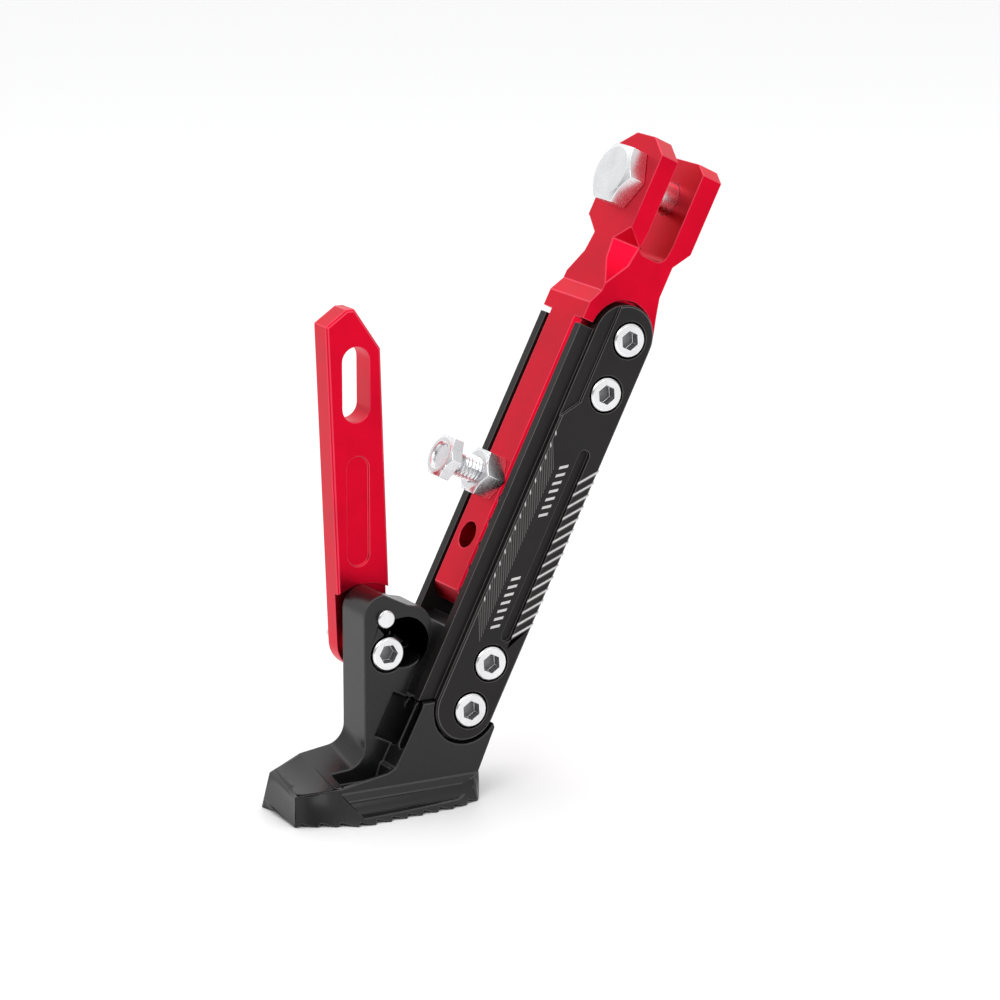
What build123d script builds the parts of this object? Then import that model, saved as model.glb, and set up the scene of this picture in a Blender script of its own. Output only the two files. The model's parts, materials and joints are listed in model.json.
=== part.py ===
from build123d import *
from math import asin, atan2, cos, degrees, radians, sin, tan
import os

# Adjustable motorcycle side stand, standing on its sole with the leg at its shortest setting.
# Row frame: +Z up, +X from the toe of the foot to its heel, -Y towards the decorated near side.
# The origin is the middle of the clevis gap, on the axis of the pivot bolt.
#
# The leg has its own axes: l runs up the leg, d runs forwards from the line of the clamp
# screws, and w runs from the bar's middle towards the near side.  Planes of the leg are
# given by the functions side, across and front below.

# ---------------------------------------------------------------- driving dimensions (mm)
lean = 26.8               # angle between the leg and the vertical
pivot_height = 169.7      # pivot centre above the ground, leg at its shortest
toe_ahead = 40.578        # from the toe back to where the leg's own axis would meet the ground

play = 0.10               # side clearance between the bar and each shell
running = 0.06            # radial clearance of a turning shaft in its hole
seat_gap = 0.05           # end play between turning faces
thread_gap = 0.03         # radial gap that stands for a thread's flanks
hole_gap = 0.20           # radial clearance of a screw in a plain hole
seam = 0.90               # gap round the ends of a shell's cover
stroke = 45.0             # travel of the length adjustment

# clevis and neck of the arm
ear_half = 12.3           # half width of the two ears
ear_top = 14.0            # top of the front ear above the pivot axis
ear_back_top = 12.2       # top of the rear ear
ear_bottom = -13.0        # where the ears narrow into the neck
ear_flat = 5.0            # half width of the flat on top of the front ear
ear_corner = 9.5          # height at which the slanted corners end
ear_front_thick = 6.15
ear_back_thick = 6.95
lug_gap = 9.5             # space between the ears for the frame's lug
lug_back = 2.05           # from the clamp screws' line back to the gap's rear face
gap_depth = 19.0          # depth of the gap below the pivot axis
gap_corner = 2.5
neck_half = 11.2
neck_back = 5.7           # rear face of the neck behind the screws' line
neck_start = -18.5
neck_cut = 4.2            # depth of the slanting cuts along the neck's front corners
neck_cut_low = 3.5        # depth where they start to run out
neck_run_out = -23.5
neck_slope = 2.1          # length of the run-out for each millimetre of depth
shoulder_half = 11.5
neck_end = -28.0          # where the rear face starts to slope out
shoulder_start = -33.0    # where the neck widens into the shoulder
shoulder_full = -37.5
shoulder_bottom = -42.6
shoulder_lip = 1.5        # square part under the shoulder's rear slope

# sliding bar
bar_half = 8.25
bar_front = 16.0          # front face of bar and shells, forward of the screws' line
bar_back = 9.3            # rear face of bar and shells, behind the screws' line
bar_end_up = 57.4         # end of the bar above the point where the leg's axis meets the ground
bar_chamfer = 1.74
bar_end_bevel = 4.0
notch_radius = 2.7        # scalloped rack along both sides of the bar
notch_depth = 1.2
notch_pitch = 7.2
notch_first = -99.5
notch_count = 5
stud_at = -94.8           # tapped hole of the spring stud
spare_hole_at = -112.8    # second tapped hole
tap_depth = 11.0

# clamp screws
upper_screws = (-43.0, -60.0)
lower_screws_up = (45.8, 31.1)    # above the point where the leg's axis meets the ground
screw_r = 3.0
screw_head_r = 5.0
screw_head_height = 4.4
screw_proud = 0.5         # how far a head stands out of its counterbore
screw_socket = 2.9        # across-corner radius of the hexagon socket
screw_socket_depth = 3.0
screw_edge = 0.45
clamp_nut_r = 5.77        # across-corner radius, 10 mm across flats
clamp_nut_height = 3.2

# shells
wall_thick = 3.15
wall_top = -44.3
cover_rise = 2.5          # how far the cover stands out of the wall
cover_front = 11.3
cover_back = 8.1
step_width = 4.4          # shallow step along the cover's front edge
step_depth = 1.0
step_end = -65.0
step_slope = 1.35
cover_edge = 0.5          # bevel round the cover
counterbore_gap = 0.6     # round a screw's head
block_gap = 0.4           # between the shells' walls and the block below them
hatch_count = 14
hatch_pitch = 3.70
hatch_first = -88.0
hatch_run = 5.0           # length of a hatch line across the leg
hatch_rise = 5.6          # and up the leg
hatch_width = 1.20        # measured up the leg
hatch_depth = 0.30
hatch_inner = 3.2         # inner end of the lines behind the screws' line
groove_top = -77.0        # long rounded groove beside the hatching
groove_above_screw = 7.3  # end of the groove above the third screw
groove_half = 1.8
groove_depth = 1.4
groove_back = 1.4

# pivot bolt, M10
bolt_r = 5.0
bolt_flats = 17.0
bolt_head_height = 6.4
chamfer_start = 0.90      # radius at which a head's corners begin to fall away, over half its flats
chamfer_reach = 1.24
chamfer_slope = 0.577
bolt_washer_r = 7.6
bolt_washer_thick = 1.0
clip_r = 6.9              # retaining clip in a groove near the bolt's end
clip_thick = 1.2
clip_groove_r = 4.2
clip_mouth = 7.6          # width of the clip's open side
bolt_tip = 1.0            # end of the bolt past the clip

# spring stud, M8
stud_r = 4.0
stud_flats = 13.0         # of the nut
stud_head_flats = 12.0
stud_head_height = 4.0
stud_dish_r = 4.2         # shallow dish in the head
stud_dish_depth = 0.9
stud_nut_height = 6.8
stud_hook_length = 8.5    # free shank between nut and head, where a spring hooks on

# foot, measured from the toe's near bottom edge: x towards the heel, z above the ground
foot_near = 14.0          # outer face of the near block
foot_far = 7.7            # far face of toe and column
toe_near_top = 9.2
heel_x = 59.7
tongue_front = 14.3
tongue_top_up = 53.6
tongue_corner = 3.0
column_near = 6.0
column_ahead = 7.8        # front face of the column ahead of the lever's pivot
column_blend = 6.0        # radius where the column meets the toe
well_floor = 7.6
well_wall = 1.5
well_front = 15.8
sole_rim = 2.3            # thickness of the sole where it stands out
sole_outline = ((0, 0), (18.0, 9.3), (50.0, 6.8), (57.4, 3.6), (59.7, 0))
flute_start = (13.5, 22.5)    # x where the flute begins, at the foot's side and at the rim
flute_top = 7.2
tooth_first = 0.9
tooth_pitch = 5.2
tooth_depth = 1.1
tooth_steep = 0.8         # length of the steep flank of a tooth
tooth_tip = 0.5
pockets_w = (6.9, 11.9)   # two long pockets in the block's front face
pockets_width = (4.8, 3.4)
pocket_length = 14.5
pocket_up = 20.6
pocket_front = 21.5
pocket_depth = 5.0

# kick lever, its pivot and its spring
lever_x = 34.5
lever_z = 44.5
lever_thick = 8.4
lever_near = 8.0          # near face of the lever, on the far side of the column
lever_half = 8.3
lever_top_left = (22.7, 138.6)
lever_peak = (29.3, 31.9)
lever_peak_z = 143.0
lever_top_right = (40.1, 130.8)
lever_slot_x = 32.0
lever_slot_half = 4.3
lever_slot_z = (110.0, 132.0)
lever_groove_x = 32.4
lever_groove_half = 3.5
lever_groove_z = (67.5, 100.0)
lever_groove_depth = 0.8
hub_recess_r = 17.5
hub_recess_depth = 2.4
lever_edge = 0.6
bush_r = 5.0
bush_flange_r = 6.2
lever_nut_r = 5.77
lever_nut_height = 5.0
lever_washer_r = 6.2
lever_washer_thick = 1.2
lever_seat = 2.0          # near side of the column's counterbore floor
lever_tip = 1.0           # thread showing past the nut
anchor_offset = (-1.0, 10.7)    # pin that holds the spring's leg, from the lever's pivot
anchor_r = 1.6
anchor_head_r = 2.7
anchor_head_height = 1.4
spring_pocket_offset = (5.3, 2.7)
spring_pocket_r = 7.3
spring_pocket_depth = 11.0
spring_angle = 26.9       # from the lever's pivot to the axis of the spring
spring_clear = 0.26       # between the coil and the screw's shank
spring_post_r = 2.2
spring_post_low = 5.0     # top of the post below the ear's face
spring_wire_r = 0.65
spring_r = 3.6
spring_turns = 3.75
spring_pitch = 1.45
spring_leg = 9.5          # length of the leg that reaches the anchor pin
spring_hole_depth = 2.0   # how deep the tail sits in the lever
fold_out = 85.0           # swing of the lever away from the leg
fold_in = 20.0            # and towards it

# ---------------------------------------------------------------- reference planes
gap_front = lug_gap - lug_back
pivot_d = gap_front - lug_gap / 2
c, s = cos(radians(lean)), sin(radians(lean))
leg_length = pivot_height / c
toe_reach = toe_ahead + pivot_height * tan(radians(lean))
bar_end = bar_end_up - leg_length
tongue_top = tongue_top_up - leg_length
pocket_middle = pocket_up - leg_length
lower_screws = tuple(up - leg_length for up in lower_screws_up)
groove_bottom = lower_screws[0] + groove_above_screw
leg = Plane(origin=(pivot_d * c, 0, -pivot_d * s), x_dir=(c, 0, -s), z_dir=(0, -1, 0))


def leg_point(l, d=0.0, w=0.0):
    """Point of the row frame at height l, forward distance d and near distance w."""
    return leg.from_local_coords((-d, l, w))


def side(w):
    """Plane facing the near side; its x is rearward and its y is up the leg."""
    return leg.offset(w)


def across(l):
    """Plane square to the leg, facing up; its x is rearward and its y is to the far side."""
    return Plane(origin=leg_point(l), x_dir=leg.x_dir, z_dir=leg.y_dir)


def front(d, l=0.0, w=0.0):
    """Plane facing forwards; its x is towards the near side and its y is up the leg."""
    return Plane(origin=leg_point(l, d, w), x_dir=leg.z_dir, z_dir=-leg.x_dir)


def back(d, l=0.0, w=0.0):
    """Plane facing rearwards at forward distance d; its x is towards the far side."""
    return Plane(origin=leg_point(l, d, w), x_dir=-leg.z_dir, z_dir=leg.x_dir)


def foot_side(w):
    """Upright plane facing the near side; x from the toe, y above the ground."""
    return Plane(origin=(-toe_reach, -w, -pivot_height), x_dir=(1, 0, 0), z_dir=(0, -1, 0))


def leg_at_height(z, r):
    """Height l on the leg, at rearward distance r, of a point z above the ground."""
    return (z - pivot_height - leg.origin.Z + s * r) / c


ear_front = gap_front + ear_front_thick
ear_back = lug_back + ear_back_thick
shell_inner = bar_half + play
wall_outer = shell_inner + wall_thick
cover_outer = wall_outer + cover_rise
head_seat = cover_outer + screw_proud - screw_head_height
cover_mid = (cover_front - cover_back) / 2
cover_r = (cover_front + cover_back) / 2
cover_ends = (upper_screws[0], lower_screws[1])
block_top = 30.6

anchor_x, anchor_z = lever_x + anchor_offset[0], lever_z + anchor_offset[1]
pocket_x, pocket_z = lever_x + spring_pocket_offset[0], lever_z + spring_pocket_offset[1]
spring_reach = screw_r + spring_clear + spring_r + spring_wire_r
spring_x = lever_x + spring_reach * cos(radians(spring_angle))
spring_z = lever_z + spring_reach * sin(radians(spring_angle))
column_x = lever_x - column_ahead


def turn_off_corners(face, half_flats):
    """Cuts the corners off a hexagon at its outer face, as turning it does."""
    inner, outer = half_flats * chamfer_start, half_flats * chamfer_reach
    depth = (outer - inner) * chamfer_slope
    with BuildPart(mode=Mode.PRIVATE) as ring:
        with BuildSketch(face):
            Circle(outer)
        extrude(amount=-depth)
        with BuildSketch(face):
            Circle(inner)
        extrude(amount=-depth, taper=-degrees(atan2(1, chamfer_slope)), mode=Mode.SUBTRACT)
    add(ring.part, mode=Mode.SUBTRACT)


# ---------------------------------------------------------------- arm: clevis, neck, shoulder, bar
with BuildPart() as arm:
    # outline of clevis, neck and shoulder seen from the side
    with BuildSketch(side(0)):
        with BuildLine():
            Polyline(
                (-ear_front, ear_top),
                (-ear_front, shoulder_start),
                (-bar_front, shoulder_full),
                (-bar_front, shoulder_bottom),
                (bar_back, shoulder_bottom),
                (bar_back, shoulder_bottom + shoulder_lip),
                (neck_back, neck_end),
                (neck_back, neck_start),
                (ear_back, ear_bottom),
                (ear_back, ear_back_top),
                (0, ear_back_top),
                (0, ear_top),
                close=True,
            )
        make_face()
    extrude(amount=ear_half, both=True)
    # outline of the same seen from the front
    with BuildSketch(front(bar_front + 1)):
        with BuildLine():
            Polyline(
                (-ear_flat, ear_top),
                (-ear_half, ear_corner),
                (-ear_half, ear_bottom),
                (-neck_half, neck_start),
                (-neck_half, shoulder_start),
                (-shoulder_half, shoulder_full),
                (-shoulder_half, shoulder_bottom),
                (shoulder_half, shoulder_bottom),
                (shoulder_half, shoulder_full),
                (neck_half, shoulder_start),
                (neck_half, neck_start),
                (ear_half, ear_bottom),
                (ear_half, ear_corner),
                (ear_flat, ear_top),
                close=True,
            )
        make_face()
    extrude(amount=-(bar_front + bar_back + 2), mode=Mode.INTERSECT)
    # slanting cuts along the neck's front corners, running out at both ends
    for sign in (-1, 1):
        corner = Plane(
            origin=leg_point(0, ear_front, sign * neck_half),
            x_dir=leg.z_dir * -sign + leg.x_dir,
            z_dir=(leg.z_dir * -sign + leg.x_dir).cross(leg.y_dir),
        )
        with BuildSketch(corner):
            with BuildLine():
                Polyline(
                    (-neck_cut, ear_bottom + 2),
                    (0, ear_bottom - 0.5),
                    (neck_cut, neck_start + 1),
                    (neck_cut_low, neck_run_out),
                    (-neck_cut, neck_run_out - neck_slope * (neck_cut_low + neck_cut)),
                    close=True,
                )
            make_face()
        extrude(amount=neck_cut * 3, both=True, mode=Mode.SUBTRACT)
    # gap between the ears
    with BuildSketch(side(0)) as gap:
        with Locations((lug_back - lug_gap / 2, (ear_top + 1 - gap_depth) / 2)):
            Rectangle(lug_gap, ear_top + 1 + gap_depth)
        fillet(gap.vertices().group_by(Axis.Y)[0], gap_corner)
    extrude(amount=ear_half + 1, both=True, mode=Mode.SUBTRACT)
    # hole for the pivot bolt
    with BuildSketch(front(ear_front + 1)):
        Circle(bolt_r + running)
    extrude(amount=-(ear_front + ear_back + 2), mode=Mode.SUBTRACT)
    # recesses in the shoulder that take the round ends of the covers
    for sign in (-1, 1):
        with BuildSketch(side(sign * shell_inner)):
            with Locations((-cover_mid, cover_ends[0])):
                Circle(cover_r + seam)
        extrude(amount=sign * 10, mode=Mode.SUBTRACT)
    # the sliding bar, with bevelled front corners
    with BuildSketch(across(shoulder_bottom + 2)):
        with BuildLine():
            Polyline(
                (-bar_front, bar_half - bar_chamfer),
                (-bar_front + bar_chamfer, bar_half),
                (bar_back, bar_half),
                (bar_back, -bar_half),
                (-bar_front + bar_chamfer, -bar_half),
                (-bar_front, -bar_half + bar_chamfer),
                close=True,
            )
        make_face()
    extrude(amount=bar_end - shoulder_bottom - 2)
    # bevel on the lower front end
    with BuildSketch(side(0)):
        with BuildLine():
            Polyline(
                (-bar_front - 1, bar_end - 1),
                (-bar_front - 1, bar_end + bar_end_bevel + 1),
                (-bar_front + bar_end_bevel + 1, bar_end - 1),
                close=True,
            )
        make_face()
    extrude(amount=bar_half + 1, both=True, mode=Mode.SUBTRACT)
    # scalloped rack on both sides
    notch_rows = [notch_first - notch_pitch * i for i in range(notch_count)]
    notch_w = bar_half + notch_radius - notch_depth
    with BuildSketch(front(bar_front + 1)):
        with Locations([(sign * notch_w, l) for sign in (-1, 1) for l in notch_rows]):
            Circle(notch_radius)
    extrude(amount=-(bar_front + bar_back + 2), mode=Mode.SUBTRACT)
    # long slot for the upper clamp screws
    slot_top = upper_screws[0] + screw_r + hole_gap
    slot_bottom = upper_screws[1] - stroke - screw_r - hole_gap
    with BuildSketch(side(0)):
        with Locations((0, (slot_top + slot_bottom) / 2)):
            SlotOverall(slot_top - slot_bottom, 2 * (screw_r + hole_gap), rotation=90)
    extrude(amount=bar_half + 1, both=True, mode=Mode.SUBTRACT)
    # tapped holes in the front face
    with BuildSketch(front(bar_front)):
        with Locations((0, stud_at), (0, spare_hole_at)):
            Circle(stud_r + thread_gap)
    extrude(amount=-tap_depth, mode=Mode.SUBTRACT)
arm.part.label = "arm"

# ---------------------------------------------------------------- pivot bolt, washer and clip
washer_seat = -ear_back - seat_gap
groove_start = washer_seat - bolt_washer_thick - seat_gap
groove_end = groove_start - clip_thick - seat_gap
with BuildPart() as pivot_bolt:
    with BuildSketch(front(ear_front + seat_gap)):
        RegularPolygon(bolt_flats / 2, 6, major_radius=False)
    extrude(amount=bolt_head_height)
    turn_off_corners(front(ear_front + seat_gap + bolt_head_height), bolt_flats / 2)
    with BuildSketch(front(ear_front + seat_gap)):
        Circle(bolt_r)
    extrude(amount=groove_end - bolt_tip - ear_front - seat_gap)
    with BuildSketch(back(groove_start)):
        Circle(bolt_r + 1)
        Circle(clip_groove_r, mode=Mode.SUBTRACT)
    extrude(amount=groove_start - groove_end, mode=Mode.SUBTRACT)
pivot_bolt.part.label = "pivot_bolt"

with BuildPart() as pivot_washer:
    with BuildSketch(back(washer_seat)):
        Circle(bolt_washer_r)
        Circle(bolt_r + hole_gap, mode=Mode.SUBTRACT)
    extrude(amount=bolt_washer_thick)
pivot_washer.part.label = "pivot_washer"

with BuildPart() as pivot_clip:
    with BuildSketch(back(groove_start)):
        Circle(clip_r)
        Circle(clip_groove_r + thread_gap, mode=Mode.SUBTRACT)
        with Locations((0, -clip_r)):
            Rectangle(clip_mouth, 2 * clip_r, mode=Mode.SUBTRACT)
    extrude(amount=clip_thick)
pivot_clip.part.label = "pivot_clip"


# ---------------------------------------------------------------- the two shells
def build_shell(sign):
    """One shell; sign is 1 on the near side and -1 on the far side."""
    with BuildPart() as shell:
        with BuildSketch(side(sign * shell_inner)):
            with BuildLine():
                Polyline(
                    (-bar_front, wall_top),
                    (bar_back, wall_top),
                    (bar_back, leg_at_height(block_top + block_gap, bar_back)),
                    (-bar_front, leg_at_height(block_top + block_gap, -bar_front)),
                    close=True,
                )
            make_face()
        extrude(amount=sign * wall_thick)
        with BuildSketch(side(sign * shell_inner)):
            with Locations((-cover_mid, (cover_ends[0] + cover_ends[1]) / 2)):
                SlotOverall(cover_ends[0] - cover_ends[1] + 2 * cover_r, 2 * cover_r, rotation=90)
        extrude(amount=sign * (wall_thick + cover_rise))
        # bevelled outer edge of the cover
        outer = shell.faces().filter_by(Plane.XZ).sort_by(Axis.Y)
        rim = outer[0] if sign > 0 else outer[-1]
        chamfer(rim.outer_wire().edges(), cover_edge)
        # step along the front edge beside the upper screws
        with BuildSketch(side(sign * (cover_outer - step_depth))):
            with BuildLine():
                Polyline(
                    (-cover_front - 1, cover_ends[0] + cover_r + 1),
                    (-cover_front + step_width, cover_ends[0] + cover_r + 1),
                    (-cover_front + step_width, step_end),
                    (-cover_front - 1, step_end - step_slope * (step_width + 1)),
                    close=True,
                )
            make_face()
        extrude(amount=sign * (step_depth + 1), mode=Mode.SUBTRACT)
        # long rounded groove
        with BuildSketch(side(sign * (cover_outer - groove_depth))):
            with Locations((groove_back, (groove_top + groove_bottom) / 2)):
                SlotOverall(groove_top - groove_bottom, 2 * groove_half, rotation=90)
        extrude(amount=sign * (groove_depth + 1), mode=Mode.SUBTRACT)
        # slanting hatch lines along the rear edge
        with BuildSketch(side(sign * (cover_outer - hatch_depth))):
            for i in range(hatch_count):
                low = hatch_first - hatch_pitch * (i - 0.5)
                with BuildLine():
                    Polyline(
                        (hatch_inner, low),
                        (hatch_inner + hatch_run, low + hatch_rise),
                        (hatch_inner + hatch_run, low + hatch_rise - hatch_width),
                        (hatch_inner, low - hatch_width),
                        close=True,
                    )
                make_face()
        extrude(amount=sign * (hatch_depth + 1), mode=Mode.SUBTRACT)
        # screw holes: counterbores on the near side, nut pockets on the far side
        with BuildSketch(side(sign * shell_inner)):
            with Locations([(0, l) for l in upper_screws + lower_screws]):
                Circle(screw_r + hole_gap)
        extrude(amount=sign * 10, mode=Mode.SUBTRACT)
        with BuildSketch(side(sign * head_seat)):
            with Locations([(0, l) for l in upper_screws + lower_screws]):
                if sign > 0:
                    Circle(screw_head_r + counterbore_gap)
                else:
                    RegularPolygon(clamp_nut_r + 0.15, 6)
        extrude(amount=sign * 10, mode=Mode.SUBTRACT)
    return shell.part


near_shell = build_shell(1)
near_shell.label = "near_shell"
far_shell = build_shell(-1)
far_shell.label = "far_shell"


# ---------------------------------------------------------------- clamp screws and their nuts
def build_screws(stations):
    """Socket-cap screws through both shells, heads on the near side."""
    with BuildPart() as screws:
        with BuildSketch(side(head_seat)):
            with Locations([(0, l) for l in stations]):
                Circle(screw_head_r)
        extrude(amount=screw_head_height)
        chamfer(screws.faces().filter_by(Plane.XZ).group_by(Axis.Y)[0].edges(), screw_edge)
        with BuildSketch(side(head_seat)):
            with Locations([(0, l) for l in stations]):
                Circle(screw_r)
        extrude(amount=-2 * head_seat - clamp_nut_height)
        with BuildSketch(side(head_seat + screw_head_height)):
            with Locations([(0, l) for l in stations]):
                RegularPolygon(screw_socket, 6)
        extrude(amount=-screw_socket_depth, mode=Mode.SUBTRACT)
    return screws.part


def build_nuts(stations):
    """Thin nuts in the far shell's pockets."""
    with BuildPart() as nuts:
        with BuildSketch(side(-head_seat)):
            with Locations([(0, l) for l in stations]):
                RegularPolygon(clamp_nut_r, 6)
                Circle(screw_r + thread_gap, mode=Mode.SUBTRACT)
        extrude(amount=-clamp_nut_height)
    return nuts.part


upper_clamp_screws = build_screws(upper_screws)
upper_clamp_screws.label = "upper_clamp_screws"
lower_clamp_screws = build_screws(lower_screws)
lower_clamp_screws.label = "lower_clamp_screws"
upper_clamp_nuts = build_nuts(upper_screws)
upper_clamp_nuts.label = "upper_clamp_nuts"
lower_clamp_nuts = build_nuts(lower_screws)
lower_clamp_nuts.label = "lower_clamp_nuts"


# ---------------------------------------------------------------- foot
# The torsion spring's upper leg leaves the coil along a tangent and passes the anchor pin.
# Its tail, at the coil's deep end, goes through a curved window into the lever.
coil_top = column_near - spring_pocket_depth + spring_wire_r + 0.1 + spring_pitch * spring_turns
reach = Vector(anchor_x - spring_x, anchor_z - spring_z)
leg_side = degrees(asin((spring_r - anchor_r - spring_wire_r - seat_gap) / reach.length))
leg_angle = degrees(atan2(reach.Y, reach.X)) + 90 - leg_side
tail_angle = leg_angle + 360 * spring_turns


def coil_point(angle, radius=spring_r):
    """Point at an angle round the spring's axis, as x and y of a foot_side plane."""
    return Vector(spring_x + radius * cos(radians(angle)), spring_z + radius * sin(radians(angle)))


leg_start = coil_point(leg_angle)
leg_end = leg_start + Vector(sin(radians(leg_angle)), -cos(radians(leg_angle))) * spring_leg
tail = coil_point(tail_angle) - Vector(lever_x, lever_z)
tail_turn = degrees(atan2(tail.Y, tail.X))

# outlines of the foot in foot_side planes
toe_near_outline = ((0, 0), (0.8, toe_near_top), (9, toe_near_top), (33, toe_near_top), (33, 0))
toe_far_outline = ((0, 0), (2.7, 10.2), (12.6, 14.6), (33, 17.4), (33, 0))
block_outline = (
    (15.6, 0),
    (15.6, toe_near_top),
    (30.2, 11.6),
    (32.5, 12.8),
    (41.8, block_top),
    (62.0, block_top),
    (65.0, 20.2),
    (heel_x, 8.0),
    (heel_x, 0),
)
far_wall_outline = (
    (36.0, 8.0),
    (36.0, 19.7),
    (41.8, block_top),
    (62.0, block_top),
    (65.0, 20.2),
    (heel_x, 8.0),
    (heel_x - 6, 3.0),
    (41.0, 3.0),
)
well_outline = ((16.4, well_floor), (16.4, 14), (32.2, 14), (30, well_floor))

# the part of the sole that stands out on the near side, with a hollow flute along it
with BuildPart() as flare:
    with BuildSketch(Plane.XY.offset(-pivot_height)):
        with BuildLine():
            Polyline([(x - toe_reach, -foot_near - w) for x, w in sole_outline], close=True)
        make_face()
    with BuildSketch(Plane.XY.offset(toe_near_top - pivot_height)):
        with BuildLine():
            Polyline([(x - toe_reach, -foot_near - w / 30) for x, w in sole_outline], close=True)
        make_face()
    loft(ruled=True)
sole_reach = max(w for x, w in sole_outline)
with BuildPart() as flute:
    toe_corner = (-toe_reach, -foot_near, -pivot_height)
    with BuildSketch(Plane(origin=toe_corner, x_dir=(0, -1, 0), z_dir=(-1, 0, 0))):
        with BuildLine():
            start = Line((0, toe_near_top + 1), (0, flute_top + 0.3))
            slope = Line(start @ 1, (2.3, flute_top - 1.5))
            hollow = ThreePointArc(slope @ 1, (3.4, 3.4), (sole_reach - 1, sole_rim))
            Polyline(
                hollow @ 1,
                (sole_reach + 3, sole_rim),
                (sole_reach + 3, toe_near_top + 1),
                start @ 0,
            )
        make_face()
    extrude(amount=-heel_x - 6)
    with BuildSketch(Plane.XY.offset(-pivot_height)):
        with BuildLine():
            Polyline(
                (flute_start[0] - toe_reach, -foot_near + 1),
                (flute_start[0] - toe_reach, -foot_near),
                (flute_start[1] - toe_reach, -foot_near - sole_reach - 3),
                (heel_x + 6 - toe_reach, -foot_near - sole_reach - 3),
                (heel_x + 6 - toe_reach, -foot_near + 1),
                close=True,
            )
        make_face()
    extrude(amount=toe_near_top + 3, mode=Mode.INTERSECT)

with BuildPart() as foot:
    # toe, whose top slopes up from the near edge to the far edge
    with BuildSketch(foot_side(foot_near)):
        with BuildLine():
            Polyline(toe_near_outline, close=True)
        make_face()
    with BuildSketch(foot_side(-foot_far)):
        with BuildLine():
            Polyline(toe_far_outline, close=True)
        make_face()
    loft(ruled=True)
    # well between the column and the near wall
    with BuildSketch(foot_side(column_near)):
        with BuildLine():
            Polyline((well_front, well_floor), (well_front, 20), (34, 20), (34, well_floor), close=True)
        make_face()
    extrude(amount=foot_near - column_near + 1, mode=Mode.SUBTRACT)
    # block under the near shell and across to the far shell
    with BuildSketch(foot_side(-foot_far)):
        with BuildLine():
            Polyline(block_outline, close=True)
        make_face()
    extrude(amount=foot_far + foot_near)
    with BuildSketch(foot_side(column_near)):
        with BuildLine():
            Polyline(well_outline, close=True)
        make_face()
    extrude(amount=foot_near - column_near - well_wall, mode=Mode.SUBTRACT)
    # far wall, which holds the end of the far shell
    with BuildSketch(foot_side(-foot_near)):
        with BuildLine():
            Polyline(far_wall_outline, close=True)
        make_face()
    extrude(amount=foot_near - foot_far)
    # room for the shells: between the walls only the tongue is left
    for sign in (-1, 1):
        with BuildSketch(side(sign * shell_inner)):
            with Locations((-cover_mid, cover_ends[1])):
                Circle(cover_r + seam)
            with Locations((-cover_mid, cover_ends[1] + 25)):
                Rectangle(2 * (cover_r + seam), 50)
        extrude(amount=sign * 12, mode=Mode.SUBTRACT)
    # tongue between the shells
    with BuildSketch(side(0)):
        with BuildLine():
            Polyline(
                (-tongue_front, tongue_top - tongue_corner),
                (-tongue_front + tongue_corner, tongue_top),
                (bar_back - 1, tongue_top),
                (bar_back, tongue_top - 1),
                (bar_back, leg_at_height(20, bar_back)),
                (-tongue_front, leg_at_height(20, -tongue_front)),
                close=True,
            )
        make_face()
    extrude(amount=shell_inner, both=True)
    # column with the ear for the kick lever, outlined from the lever's pivot
    with BuildSketch(foot_side(-foot_far)):
        with BuildLine():
            corner = Line((column_x, toe_near_top - 1), (column_x, lever_z + 11.0))
            crown = ThreePointArc(
                corner @ 1, (lever_x - 5.8, lever_z + 15.9), (lever_x - 1.2, lever_z + 17.7))
            slope = Line(crown @ 1, (lever_x + 6.6, lever_z + 13.7))
            shelf = Line(slope @ 1, (lever_x + 10.7, lever_z + 12.7))
            heel = ThreePointArc(
                shelf @ 1, (lever_x + 13.7, lever_z + 9.1), (lever_x + 13.9, lever_z + 3.2))
            Polyline(
                heel @ 1,
                (lever_x + 11.7, lever_z - 1.6),
                (lever_x + 8.4, lever_z - 6.3),
                (lever_x + 6.1, lever_z - 12.0),
                (lever_x + 6.1, toe_near_top - 1),
                corner @ 0,
            )
        make_face()
    extrude(amount=foot_far + column_near)
    # hollow blend between the column's front face and the toe
    blend_point = foot_side(0).from_local_coords((column_x, (toe_near_top + 14.6) / 2, 0))
    blend_edge = foot.edges().filter_by(Axis.Z, reverse=True).sort_by_distance(blend_point)[0]
    fillet(blend_edge, column_blend)
    # the sole's flare and its flute
    add(flare.part)
    add(flute.part, mode=Mode.SUBTRACT)
    # two long pockets in the block's front face, which run out into the column
    for w, width in zip(pockets_w, pockets_width):
        with BuildSketch(front(pocket_front, pocket_middle, w)):
            SlotOverall(pocket_length, width, rotation=90)
        extrude(amount=-(pocket_front - tongue_front + pocket_depth), mode=Mode.SUBTRACT)
    # teeth of the sole
    with BuildSketch(foot_side(-foot_near - 1)):
        for i in range(int((heel_x - tooth_first) / tooth_pitch)):
            x = tooth_first + tooth_pitch * i
            with BuildLine():
                Polyline(
                    (x, -0.01),
                    (x + tooth_steep, tooth_depth),
                    (x + tooth_pitch - tooth_tip, -0.01),
                    close=True,
                )
            make_face()
    extrude(amount=2 * foot_near + sole_reach + 4, mode=Mode.SUBTRACT)
    # holes for the lower clamp screws
    with BuildSketch(side(-shell_inner)):
        with Locations([(0, l) for l in lower_screws]):
            Circle(screw_r + hole_gap)
    extrude(amount=2 * shell_inner, mode=Mode.SUBTRACT)
    # counterbored hole of the lever's screw
    with BuildSketch(foot_side(lever_seat)):
        with Locations((lever_x, lever_z)):
            Circle(screw_head_r + counterbore_gap)
    extrude(amount=10, mode=Mode.SUBTRACT)
    with BuildSketch(foot_side(-foot_far - 1)):
        with Locations((lever_x, lever_z)):
            Circle(screw_r + thread_gap)
    extrude(amount=30, mode=Mode.SUBTRACT)
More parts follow.
